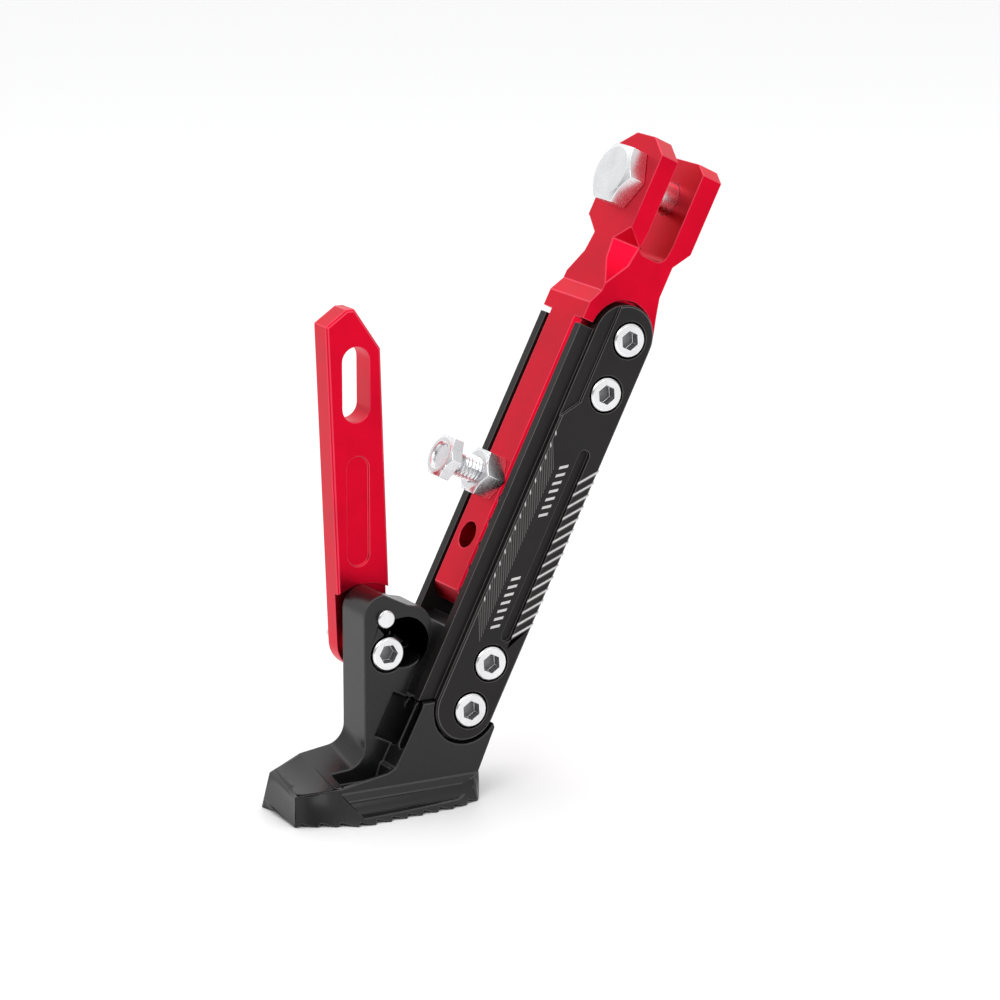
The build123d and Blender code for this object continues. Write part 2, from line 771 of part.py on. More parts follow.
    # round pocket of the torsion spring, with a post in its middle
    with BuildSketch(foot_side(column_near - spring_pocket_depth)):
        with Locations((pocket_x, pocket_z)):
            Circle(spring_pocket_r)
        with Locations((spring_x, spring_z)):
            Circle(spring_post_r, mode=Mode.SUBTRACT)
    extrude(amount=spring_pocket_depth + 1, mode=Mode.SUBTRACT)
    with BuildSketch(foot_side(column_near - spring_post_low)):
        with Locations((spring_x, spring_z)):
            Circle(spring_post_r + hole_gap)
    extrude(amount=spring_post_low + 1, mode=Mode.SUBTRACT)
    # slot for the spring's leg, from the pocket past the anchor pin
    with BuildSketch(foot_side(coil_top - spring_wire_r - hole_gap)):
        with BuildLine():
            leg_line = Line(leg_start, leg_end)
        SlotArc(leg_line, 2 * (spring_wire_r + hole_gap))
    extrude(amount=10, mode=Mode.SUBTRACT)
    # curved window through the pocket's floor, in which the spring's tail follows the lever
    with BuildSketch(foot_side(-foot_far)):
        with BuildLine():
            window = CenterArc(
                (lever_x, lever_z), tail.length, tail_turn - fold_in - 3, fold_out + fold_in + 6)
        SlotArc(window, 2 * (spring_wire_r + hole_gap))
    extrude(amount=column_near + foot_far - spring_pocket_depth + 0.1, mode=Mode.SUBTRACT)
    # hole of the anchor pin
    with BuildSketch(foot_side(-foot_far - 1)):
        with Locations((anchor_x, anchor_z)):
            Circle(anchor_r + thread_gap)
    extrude(amount=30, mode=Mode.SUBTRACT)
foot.part.label = "foot"

# ---------------------------------------------------------------- kick lever
lever_far = lever_near + lever_thick
with BuildPart() as kick_lever:
    with BuildSketch(foot_side(-lever_far)):
        with BuildLine():
            left = Line((lever_x - lever_half, lever_z), lever_top_left)
            p = Polyline(
                left @ 1,
                (lever_peak[0], lever_peak_z),
                (lever_peak[1], lever_peak_z),
                lever_top_right,
                (lever_x + lever_half, lever_z),
            )
            ThreePointArc(p @ 1, (lever_x, lever_z - lever_half), left @ 0)
        make_face()
    extrude(amount=lever_thick)
    near_rim = kick_lever.faces().filter_by(Plane.XZ).sort_by(Axis.Y)[0].outer_wire().edges()
    far_rim = kick_lever.faces().filter_by(Plane.XZ).sort_by(Axis.Y)[-1].outer_wire().edges()
    chamfer(near_rim + far_rim, lever_edge)
    # slot right through near the top
    with BuildSketch(foot_side(-lever_far - 1)):
        with Locations((lever_slot_x, sum(lever_slot_z) / 2)):
            SlotOverall(lever_slot_z[1] - lever_slot_z[0], 2 * lever_slot_half, rotation=90)
    extrude(amount=lever_thick + 2, mode=Mode.SUBTRACT)
    # shallow groove on the near face
    with BuildSketch(foot_side(-lever_near - lever_groove_depth)):
        with Locations((lever_groove_x, sum(lever_groove_z) / 2)):
            SlotOverall(lever_groove_z[1] - lever_groove_z[0], 2 * lever_groove_half, rotation=90)
    extrude(amount=lever_groove_depth + 1, mode=Mode.SUBTRACT)
    # round recess about the hub
    with BuildSketch(foot_side(-lever_near - hub_recess_depth)):
        with Locations((lever_x, lever_z)):
            Circle(hub_recess_r)
    extrude(amount=hub_recess_depth + 1, mode=Mode.SUBTRACT)
    # small hole that takes the spring's tail
    with BuildSketch(foot_side(-lever_near - hub_recess_depth)):
        with Locations(coil_point(tail_angle)):
            Circle(spring_wire_r + thread_gap)
    extrude(amount=-spring_hole_depth - 0.3, mode=Mode.SUBTRACT)
    # bore that turns on the bush
    with BuildSketch(foot_side(-lever_far - 1)):
        with Locations((lever_x, lever_z)):
            Circle(bush_r + running)
    extrude(amount=lever_thick + 2, mode=Mode.SUBTRACT)
kick_lever.part.label = "kick_lever"

with BuildPart() as lever_bush:
    with BuildSketch(foot_side(-lever_far - seat_gap)):
        with Locations((lever_x, lever_z)):
            Circle(bush_r)
    extrude(amount=lever_far + seat_gap - foot_far)
    with BuildSketch(foot_side(-foot_far)):
        with Locations((lever_x, lever_z)):
            Circle(bush_flange_r)
    extrude(amount=-(lever_near + hub_recess_depth - seat_gap - foot_far))
    with BuildSketch(foot_side(-lever_far - 1)):
        with Locations((lever_x, lever_z)):
            Circle(screw_r + thread_gap)
    extrude(amount=lever_thick + 4, mode=Mode.SUBTRACT)
lever_bush.part.label = "lever_bush"

washer_face = lever_far + seat_gap
with BuildPart() as lever_washer:
    with BuildSketch(foot_side(-washer_face)):
        with Locations((lever_x, lever_z)):
            Circle(lever_washer_r)
            Circle(screw_r + hole_gap, mode=Mode.SUBTRACT)
    extrude(amount=-lever_washer_thick)
lever_washer.part.label = "lever_washer"

with BuildPart() as lever_nut:
    with BuildSketch(foot_side(-washer_face - lever_washer_thick)):
        with Locations((lever_x, lever_z)):
            RegularPolygon(lever_nut_r, 6)
            Circle(screw_r + thread_gap, mode=Mode.SUBTRACT)
    extrude(amount=-lever_nut_height)
lever_nut.part.label = "lever_nut"

with BuildPart() as lever_pivot_screw:
    with BuildSketch(foot_side(lever_seat)):
        with Locations((lever_x, lever_z)):
            Circle(screw_head_r)
    extrude(amount=screw_head_height)
    chamfer(lever_pivot_screw.faces().sort_by(Axis.Y)[0].edges(), screw_edge)
    with BuildSketch(foot_side(lever_seat)):
        with Locations((lever_x, lever_z)):
            Circle(screw_r)
    extrude(amount=-(lever_seat + washer_face + lever_washer_thick + lever_nut_height + lever_tip))
    with BuildSketch(foot_side(lever_seat + screw_head_height)):
        with Locations((lever_x, lever_z)):
            RegularPolygon(screw_socket, 6)
    extrude(amount=-screw_socket_depth, mode=Mode.SUBTRACT)
lever_pivot_screw.part.label = "lever_pivot_screw"

with BuildPart() as spring_anchor_pin:
    with BuildSketch(foot_side(column_near)):
        with Locations((anchor_x, anchor_z)):
            Circle(anchor_head_r)
    extrude(amount=anchor_head_height)
    fillet(spring_anchor_pin.faces().sort_by(Axis.Y)[0].edges(), 0.6)
    with BuildSketch(foot_side(column_near)):
        with Locations((anchor_x, anchor_z)):
            Circle(anchor_r)
    extrude(amount=-(column_near + foot_far))
spring_anchor_pin.part.label = "spring_anchor_pin"

# torsion spring round the post: coil, leg past the anchor pin, tail into the lever
coil_base = foot_side(coil_top - spring_pitch * spring_turns).from_local_coords((spring_x, spring_z, 0))
with BuildPart() as lever_spring:
    with BuildLine() as coil:
        turns = Helix(
            pitch=spring_pitch,
            height=spring_pitch * spring_turns,
            radius=spring_r,
            center=coil_base,
            direction=(0, -1, 0),
            lefthand=True,
            mode=Mode.PRIVATE,
        )
        add(turns.rotate(Axis(coil_base, (0, -1, 0)), leg_angle))
    with BuildSketch(Plane(origin=coil.line @ 0, z_dir=coil.line % 0)):
        Circle(spring_wire_r)
    sweep(path=coil.line)
    # ball where the wire bends into the leg, then the straight leg
    leg_plane = foot_side(coil_top)
    bend = leg_plane.from_local_coords((leg_start.X, leg_start.Y, 0))
    leg_tip = leg_plane.from_local_coords((leg_end.X, leg_end.Y, 0))
    with BuildSketch(Plane(origin=bend, z_dir=leg_tip - bend)):
        Circle(spring_wire_r)
    extrude(amount=spring_leg)
    # tail square to the coil, into the lever
    tail_point = coil_point(tail_angle)
    with BuildSketch(foot_side(coil_top - spring_pitch * spring_turns)):
        with Locations(tail_point):
            Circle(spring_wire_r)
    tail_depth = lever_near + hub_recess_depth + spring_hole_depth
    extrude(amount=-(coil_top - spring_pitch * spring_turns + tail_depth))
    with Locations(coil.line @ 0, coil.line @ 1):
        Sphere(spring_wire_r)
lever_spring.part.label = "lever_spring"

# ---------------------------------------------------------------- spring stud in the bar
stud_head_at = bar_front + stud_nut_height + stud_hook_length
with BuildPart() as spring_stud:
    with BuildSketch(front(bar_front - tap_depth + 1, stud_at)):
        Circle(stud_r)
    extrude(amount=tap_depth - 1 + stud_nut_height + stud_hook_length)
    with BuildSketch(front(stud_head_at, stud_at)):
        RegularPolygon(stud_head_flats / 2, 6, major_radius=False)
    extrude(amount=stud_head_height)
    turn_off_corners(front(stud_head_at + stud_head_height, stud_at), stud_head_flats / 2)
    with BuildSketch(front(stud_head_at + stud_head_height, stud_at)):
        Circle(stud_dish_r)
    extrude(amount=-stud_dish_depth, taper=25, mode=Mode.SUBTRACT)
spring_stud.part.label = "spring_stud"

with BuildPart() as spring_stud_nut:
    with BuildSketch(front(bar_front, stud_at)):
        RegularPolygon(stud_flats / 2, 6, major_radius=False)
    extrude(amount=stud_nut_height)
    turn_off_corners(front(bar_front + stud_nut_height, stud_at), stud_flats / 2)
    with BuildSketch(front(bar_front, stud_at)):
        Circle(stud_r + thread_gap)
    extrude(amount=stud_nut_height, mode=Mode.SUBTRACT)
spring_stud_nut.part.label = "spring_stud_nut"

# ---------------------------------------------------------------- one STEP file for each piece
os.makedirs("parts", exist_ok=True)
pieces = [
    arm.part,
    pivot_bolt.part,
    pivot_washer.part,
    pivot_clip.part,
    near_shell,
    far_shell,
    upper_clamp_screws,
    lower_clamp_screws,
    upper_clamp_nuts,
    lower_clamp_nuts,
    foot.part,
    kick_lever.part,
    lever_bush.part,
    lever_washer.part,
    lever_nut.part,
    lever_pivot_screw.part,
    spring_anchor_pin.part,
    lever_spring.part,
    spring_stud.part,
    spring_stud_nut.part,
]
for piece in pieces:
    export_step(piece, f"parts/{piece.label}.step")
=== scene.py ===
import json
from math import cos, pi, radians, sin

import bmesh
import bpy
from bpy.props import (
    FloatProperty,
    FloatVectorProperty,
    IntProperty,
    PointerProperty,
)
from bpy.types import Operator, Panel, PropertyGroup
from mathutils import Matrix, Vector


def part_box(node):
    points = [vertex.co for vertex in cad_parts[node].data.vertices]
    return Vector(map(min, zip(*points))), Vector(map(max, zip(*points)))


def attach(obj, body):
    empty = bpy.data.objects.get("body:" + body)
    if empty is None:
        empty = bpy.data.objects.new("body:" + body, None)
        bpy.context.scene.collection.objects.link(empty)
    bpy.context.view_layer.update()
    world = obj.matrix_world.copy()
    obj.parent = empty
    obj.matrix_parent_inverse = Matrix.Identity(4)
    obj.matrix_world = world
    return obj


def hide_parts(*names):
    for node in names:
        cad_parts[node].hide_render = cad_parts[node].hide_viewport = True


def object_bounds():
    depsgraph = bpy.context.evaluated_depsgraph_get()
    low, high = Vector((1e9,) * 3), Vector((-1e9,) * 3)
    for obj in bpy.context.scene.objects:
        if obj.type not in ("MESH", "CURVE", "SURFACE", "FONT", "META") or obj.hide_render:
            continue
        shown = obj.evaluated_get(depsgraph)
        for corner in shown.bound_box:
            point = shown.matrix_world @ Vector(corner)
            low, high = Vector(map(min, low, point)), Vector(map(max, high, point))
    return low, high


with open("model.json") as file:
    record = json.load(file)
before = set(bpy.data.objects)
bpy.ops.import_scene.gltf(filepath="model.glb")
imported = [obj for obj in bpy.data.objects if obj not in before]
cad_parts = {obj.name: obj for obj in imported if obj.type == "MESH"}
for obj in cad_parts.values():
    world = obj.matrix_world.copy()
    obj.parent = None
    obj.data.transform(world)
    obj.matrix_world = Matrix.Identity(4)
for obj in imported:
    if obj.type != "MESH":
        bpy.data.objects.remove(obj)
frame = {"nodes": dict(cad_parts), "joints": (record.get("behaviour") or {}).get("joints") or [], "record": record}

bl_info = {
    "name": "Side Stand Finish",
    "version": (1, 0, 0),
    "blender": (4, 5, 0),
    "location": "View3D > Sidebar > Side Stand",
    "description": "Gives an adjustable motorcycle side stand its finished parts, engraving and studio",
    "category": "Object",
}

CAD_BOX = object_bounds()
MM = 0.001
SAME_POINT = 0.002 * MM      # points closer than this are joined
SAME_PLANE = radians(0.3)    # faces that turn less than this are joined
SLACK = 0.05 * MM            # error allowed when points are picked out by their place
SOCKET_REACH = 2.95 * MM     # radius within which a screw's socket lies
SOCKET_DEPTH = 3.1 * MM
SHANK = 4.0 * MM             # radius of the spring stud
SHANK_ROOT = 3.45 * MM       # radius of its shank between the threads
RIDGE_ROOT = 3.4 * MM        # the thread's ridge starts inside the shank
RIDGE_CREST = 3.98 * MM
THREAD_PITCH = 1.25 * MM
THREAD_START = 6 * MM        # start of the thread behind the middle of the hook's shank
THREAD_LENGTH = 9.6 * MM

# ------------------------------------------------------------------ axes of the leg, from the frame

JOINTS = {joint["name"]: joint for joint in frame["joints"]}
MOUNTS = {mount["name"]: mount for mount in frame["record"]["mounts"]}
BODY_OF = {
    node: body
    for body, nodes in frame["record"]["behaviour"]["bodies"].items()
    for node in nodes
}

FORWARD = Vector(JOINTS["stand_swing"]["axis"]).normalized()
UP_LEG = -Vector(JOINTS["length_slide"]["axis"]).normalized()
NEAR = Vector((0, -1, 0))
PIVOT = Vector(MOUNTS["pivot"]["pos_m"])
HOOK = Vector(MOUNTS["spring_hook"]["pos_m"])
GROUND = CAD_BOX[0].z


def box_middle(node):
    """Middle of a CAD node's box at rest."""
    low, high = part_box(node)
    return (low + high) / 2


# The clamp screws' line lies in the leg's own plane, a little behind the pivot.
SCREW_LINE = (box_middle("upper_clamp_screws") - PIVOT).dot(FORWARD)
COVER_FACE = -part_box("near_shell")[0].y


def leg_frame(up, back, out, mirror=False):
    """Matrix whose x runs rearward, y up the leg and z out of the near (or far) cover."""
    outward = -NEAR if mirror else NEAR
    place = PIVOT + UP_LEG * up + FORWARD * (SCREW_LINE - back) + outward * out
    return Matrix((
        (-FORWARD.x, UP_LEG.x, outward.x, place.x),
        (-FORWARD.y, UP_LEG.y, outward.y, place.y),
        (-FORWARD.z, UP_LEG.z, outward.z, place.z),
        (0, 0, 0, 1),
    ))


# ------------------------------------------------------------------ settings

class StandFinish(PropertyGroup):
    """Colours and edges of the stand."""
    red: FloatVectorProperty(
        name="Red anodising", description="Colour of the arm and the lever",
        subtype="COLOR", size=3, min=0, max=1, default=(0.66, 0.003, 0.024))
    black: FloatVectorProperty(
        name="Black anodising", description="Colour of the two shells",
        subtype="COLOR", size=3, min=0, max=1, default=(0.0105, 0.0088, 0.0088))
    coat: FloatVectorProperty(
        name="Black coat", description="Colour of the foot",
        subtype="COLOR", size=3, min=0, max=1, default=(0.0062, 0.0062, 0.0066))
    zinc: FloatVectorProperty(
        name="Zinc", description="Colour of the plated bolts and nuts",
        subtype="COLOR", size=3, min=0, max=1, default=(0.80, 0.81, 0.83))
    edge: FloatProperty(
        name="Edge break", description="Width of the broken edges",
        unit="LENGTH", min=0.00005, max=0.001, default=0.00024)


class StandEngraving(PropertyGroup):
    """Sizes of the pattern cut into the covers."""
    hatch_count: IntProperty(
        name="Hatch lines", description="Bright slanting lines along the rear edge",
        min=1, max=40, default=14)
    hatch_pitch: FloatProperty(
        name="Hatch pitch", description="Distance between hatch lines",
        unit="LENGTH", min=0.001, max=0.02, default=0.0037)
    feather_count: IntProperty(
        name="Feather lines", description="Fine slanting lines along the front edge",
        min=1, max=120, default=44)
    feather_pitch: FloatProperty(
        name="Feather pitch", description="Distance between feather lines",
        unit="LENGTH", min=0.0005, max=0.02, default=0.00125)
    dash_count: IntProperty(
        name="Dashes", description="Bright dashes in each of the two groups",
        min=1, max=20, default=7)
    dash_pitch: FloatProperty(
        name="Dash pitch", description="Distance between dashes",
        unit="LENGTH", min=0.001, max=0.02, default=0.0025)


class StandStage(PropertyGroup):
    """Camera and light."""
    azimuth: FloatProperty(
        name="Azimuth", description="Camera angle round the stand",
        subtype="ANGLE", default=radians(-29))
    elevation: FloatProperty(
        name="Elevation", description="Camera angle above the floor",
        subtype="ANGLE", default=radians(14))
    lens: FloatProperty(
        name="Lens", description="Focal length in millimetres", min=20, max=400, default=150)
    width: FloatProperty(
        name="Field", description="Width that the camera sees at the stand",
        unit="LENGTH", min=0.05, max=5, default=0.29)
    aim: FloatVectorProperty(
        name="Aim", description="Point that the camera looks at",
        subtype="TRANSLATION", unit="LENGTH", size=3, default=(-0.0519, 0.0, -0.0858))


# ------------------------------------------------------------------ material helpers

def new_material(name):
    """Empty node material with its shader and output linked."""
    material = bpy.data.materials.new(name)
    material.use_nodes = True
    tree = material.node_tree
    shader = tree.nodes["Principled BSDF"]
    return material, tree, shader


def object_noise(tree, scale, detail=3.0, rough=0.55, stretch=(1, 1, 1)):
    """Noise in object space, stretched along an axis if asked."""
    place = tree.nodes.new("ShaderNodeTexCoord")
    mapping = tree.nodes.new("ShaderNodeMapping")
    mapping.inputs["Scale"].default_value = stretch
    noise = tree.nodes.new("ShaderNodeTexNoise")
    noise.inputs["Scale"].default_value = scale
    noise.inputs["Detail"].default_value = detail
    noise.inputs["Roughness"].default_value = rough
    tree.links.new(place.outputs["Object"], mapping.inputs["Vector"])
    tree.links.new(mapping.outputs["Vector"], noise.inputs["Vector"])
    return noise


def spread(tree, source, low, high, from_low=0.3, from_high=0.7):
    """Maps a texture's value to a range."""
    node = tree.nodes.new("ShaderNodeMapRange")
    node.inputs["From Min"].default_value = from_low
    node.inputs["From Max"].default_value = from_high
    node.inputs["To Min"].default_value = low
    node.inputs["To Max"].default_value = high
    tree.links.new(source, node.inputs["Value"])
    return node.outputs["Result"]


def tint(tree, factor, dark, light):
    """Colour between two tones by a factor."""
    mix = tree.nodes.new("ShaderNodeMix")
    mix.data_type = "RGBA"
    mix.inputs["A"].default_value = (*dark, 1)
    mix.inputs["B"].default_value = (*light, 1)
    tree.links.new(factor, mix.inputs["Factor"])
    return mix.outputs["Result"]


def add_bump(tree, shader, height, strength, distance):
    """Bump from a height into the shader's normal."""
    bump = tree.nodes.new("ShaderNodeBump")
    bump.inputs["Strength"].default_value = strength
    bump.inputs["Distance"].default_value = distance
    tree.links.new(height, bump.inputs["Height"])
    tree.links.new(bump.outputs["Normal"], shader.inputs["Normal"])


def shade(colour, factor):
    """Colour made darker or lighter."""
    return tuple(min(1.0, part * factor) for part in colour)


def blasted_anodising(name, colour, metallic, rough, shine=0.5, bump=0.06, variation=0.12):
    """Anodised aluminium with a fine blasted grain and faint handling marks."""
    material, tree, shader = new_material(name)
    shader.inputs["Metallic"].default_value = metallic
    shader.inputs["Specular IOR Level"].default_value = shine
    grains = object_noise(tree, 5200, 2.0, 0.6)
    clouds = object_noise(tree, 60, 4.0, 0.6)
    colour_out = tint(
        tree, spread(tree, clouds.outputs["Fac"], 0, 1),
        shade(colour, 1 - variation), shade(colour, 1 + variation))
    tree.links.new(colour_out, shader.inputs["Base Color"])
    tree.links.new(
        spread(tree, clouds.outputs["Fac"], rough - 0.05, rough + 0.07), shader.inputs["Roughness"])
    add_bump(tree, shader, grains.outputs["Fac"], bump, 0.00004)
    return material


def coated_casting(name, colour):
    """Gloss black coat with the slight waviness of a cast surface under it."""
    material, tree, shader = new_material(name)
    shader.inputs["Metallic"].default_value = 0.0
    shader.inputs["Specular IOR Level"].default_value = 0.34
    shader.inputs["Coat Weight"].default_value = 0.08
    shader.inputs["Coat Roughness"].default_value = 0.14
    waves = object_noise(tree, 420, 3.0, 0.5)
    dust = object_noise(tree, 900, 5.0, 0.65)
    tree.links.new(
        tint(tree, spread(tree, dust.outputs["Fac"], 0, 1), colour, shade(colour, 1.35)),
        shader.inputs["Base Color"])
    tree.links.new(spread(tree, dust.outputs["Fac"], 0.27, 0.33), shader.inputs["Roughness"])
    add_bump(tree, shader, waves.outputs["Fac"], 0.05, 0.00006)
    return material


def plated_steel(name, colour, rough, bump=0.006, metallic=1.0):
    """Bright plated or stainless steel with faint turning marks."""
    material, tree, shader = new_material(name)
    shader.inputs["Metallic"].default_value = metallic
    marks = object_noise(tree, 700, 3.0, 0.6)
    spots = object_noise(tree, 160, 4.0, 0.6)
    tree.links.new(
        tint(tree, spread(tree, spots.outputs["Fac"], 0, 1), shade(colour, 0.86), colour),
        shader.inputs["Base Color"])
    tree.links.new(
        spread(tree, marks.outputs["Fac"], rough - 0.02, rough + 0.04), shader.inputs["Roughness"])
    add_bump(tree, shader, spots.outputs["Fac"], bump, 0.00002)
    return material


MATERIALS = {}


def material(name):
    """The stand's materials, each made once."""
    if name not in MATERIALS:
        finish = bpy.context.scene.stand_finish
        red, black = tuple(finish.red), tuple(finish.black)
        coat, zinc = tuple(finish.coat), tuple(finish.zinc)
        makers = {
            "red": lambda: blasted_anodising("red_anodising", red, 0.97, 0.36),
            # The edge finishes below are lighter copies laid on the broken edges as painted highlights; on the red
            # parts they also stand for edge wear.
            "red_edge_wear_and_painted_highlight": lambda: blasted_anodising("red_edge_wear_and_painted_highlight", (0.80, 0.045, 0.09), 0.75, 0.33),
            "black": lambda: blasted_anodising("black_anodising", black, 0.0, 0.42, 0.24, variation=0.2),
            "black_edge_painted_highlight": lambda: blasted_anodising("black_edge_painted_highlight", (0.10, 0.095, 0.095), 0.3, 0.38),
            "coat": lambda: coated_casting("black_coat", coat),
            "coat_edge_painted_highlight": lambda: coated_casting("black_coat_edge", (0.035, 0.034, 0.035)),
            "zinc": lambda: plated_steel("zinc_plating", zinc, 0.26),
            "zinc_edge_painted_highlight": lambda: plated_steel("zinc_edge_painted_highlight", (0.92, 0.92, 0.93), 0.2),
            "stainless": lambda: plated_steel("stainless", (0.80, 0.80, 0.81), 0.24),
            # a darker steel laid inside screw sockets as painted shade
            "painted_shade_in_recess": lambda: plated_steel("painted_shade_in_recess", (0.26, 0.26, 0.27), 0.45, metallic=0.6),
            "bright": lambda: plated_steel("bright_cut", (0.66, 0.65, 0.65), 0.5, metallic=0.5),
            "fine": lambda: plated_steel("fine_cut", (0.13, 0.12, 0.12), 0.4, metallic=0.4),
            "spring": lambda: plated_steel("spring_wire", (0.11, 0.095, 0.09), 0.34),
            "bronze": lambda: plated_steel("sintered_bronze", (0.62, 0.42, 0.2), 0.45),
        }
        MATERIALS[name] = makers[name]()
    return MATERIALS[name]


# ------------------------------------------------------------------ mesh helpers

def link(name, mesh):
    """New object at the origin with a mesh."""
    made = bpy.data.objects.new(name, mesh)
    bpy.context.scene.collection.objects.link(made)
    return made


def settle(piece):
    """Replaces a piece's mesh by its evaluated one and drops its modifiers."""
    bpy.context.view_layer.update()
    graph = bpy.context.evaluated_depsgraph_get()
    mesh = bpy.data.meshes.new_from_object(piece.evaluated_get(graph))
    piece.modifiers.clear()
    piece.data = mesh
    return piece


def ride_as(piece, node):
    """Puts a piece that stands for a CAD node on the node's body and hides the node."""
    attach(piece, BODY_OF[node])
    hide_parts(node)


def keep_inside(mesh, box):
    """Holds a mesh's points inside a box."""
    low, high = box
    for vertex in mesh.vertices:
        for i in range(3):
            vertex.co[i] = min(max(vertex.co[i], low[i]), high[i])


def finish_node(node, main, edge=None, width=None, angle=28, adjust=None):
    """Copy of a CAD node with joined faces, broken edges and its finish; the broken edges take a lighter copy of
    the finish as a painted highlight, and a third slot holds the darker steel of painted socket shade.
    """
    mesh = frame["nodes"][node].data.copy()
    mesh.materials.clear()
    work = bmesh.new()
    work.from_mesh(mesh)
    bmesh.ops.remove_doubles(work, verts=work.verts, dist=SAME_POINT)
    bmesh.ops.dissolve_limit(
        work, angle_limit=SAME_PLANE, verts=work.verts, edges=work.edges)
    for face in work.faces:
        face.smooth = True
        face.material_index = 0
    for side in work.edges:
        side.smooth = len(side.link_faces) == 2 and side.calc_face_angle(0) < radians(angle)
    if adjust:
        adjust(work)
    work.to_mesh(mesh)
    work.free()
    # second finish: the lighter edge copy, a painted highlight; third: the darker steel of painted socket shade
    for name in (main, edge or main, "painted_shade_in_recess"):
        mesh.materials.append(material(name))
    piece = link(node + "_finished", mesh)
    bevel = piece.modifiers.new("edges", "BEVEL")
    bevel.limit_method = "ANGLE"
    bevel.angle_limit = radians(angle)
    bevel.width = width or bpy.context.scene.stand_finish.edge
    bevel.segments = 2
    bevel.use_clamp_overlap = False
    bevel.harden_normals = True
    # the broken edges take the lighter edge finish: a painted highlight
    bevel.material = 1
    settle(piece)
    keep_inside(piece.data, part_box(node))
    ride_as(piece, node)
    return piece


def islands(work):
    """Groups of vertices that hang together: one for each solid of a node."""
    left = set(work.verts)
    groups = []
    while left:
        group, reach = set(), [left.pop()]
        while reach:
            vertex = reach.pop()
            group.add(vertex)
            for side in vertex.link_edges:
                other = side.other_vert(vertex)
                if other in left:
                    left.remove(other)
                    reach.append(other)
        groups.append(group)
    return groups


def paint_socket_shade(work):
    """Gives the hexagon sockets of near-side screws a darker steel as painted shade."""
    for group in islands(work):
        places = [vertex.co for vertex in group]
        middle_x = (min(p.x for p in places) + max(p.x for p in places)) / 2
        middle_z = (min(p.z for p in places) + max(p.z for p in places)) / 2
        top = min(p.y for p in places)
        for face in {face for vertex in group for face in vertex.link_faces}:
            centre = face.calc_center_median()
            away = ((centre.x - middle_x) ** 2 + (centre.z - middle_z) ** 2) ** 0.5
            if away < SOCKET_REACH and top + SLACK < centre.y < top + SOCKET_DEPTH:
                # slot 2 holds the darker steel: painted shade inside the socket
                face.material_index = 2


def slim_shank(work):
    """Brings the stud's shank to its root radius, inside the thread."""
    for vertex in work.verts:
        off = vertex.co - HOOK
        across = off - FORWARD * off.dot(FORWARD)
        if abs(across.length - SHANK) < SLACK:
            vertex.co -= across * (1 - SHANK_ROOT / SHANK)


def thread(name, start, axis, length, root, crest, pitch, finish):
    """Helical ridge round an axis."""
    steps = 28
    side = axis.orthogonal().normalized()
    other = axis.cross(side)
    mesh = bpy.data.meshes.new(name)
    work = bmesh.new()
    rings = []
    for i in range(int(length / pitch * steps) + 1):
        turn = 2 * pi * i / steps
        out = side * cos(turn) + other * sin(turn)
        along = start + axis * (pitch * i / steps)
        half = axis * pitch * 0.46
        rings.append([
            work.verts.new(along + out * root - half),
            work.verts.new(along + out * crest),
            work.verts.new(along + out * root + half),
        ])
    for one, two in zip(rings, rings[1:]):
        for k in range(3):
            work.faces.new((one[k], one[(k + 1) % 3], two[(k + 1) % 3], two[k]))
    work.faces.new(rings[0])
    work.faces.new(reversed(rings[-1]))
    bmesh.ops.recalc_face_normals(work, faces=work.faces)
    work.to_mesh(mesh)
    work.free()
    mesh.materials.append(material(finish))
    return link(name, mesh)


# ------------------------------------------------------------------ geometry nodes

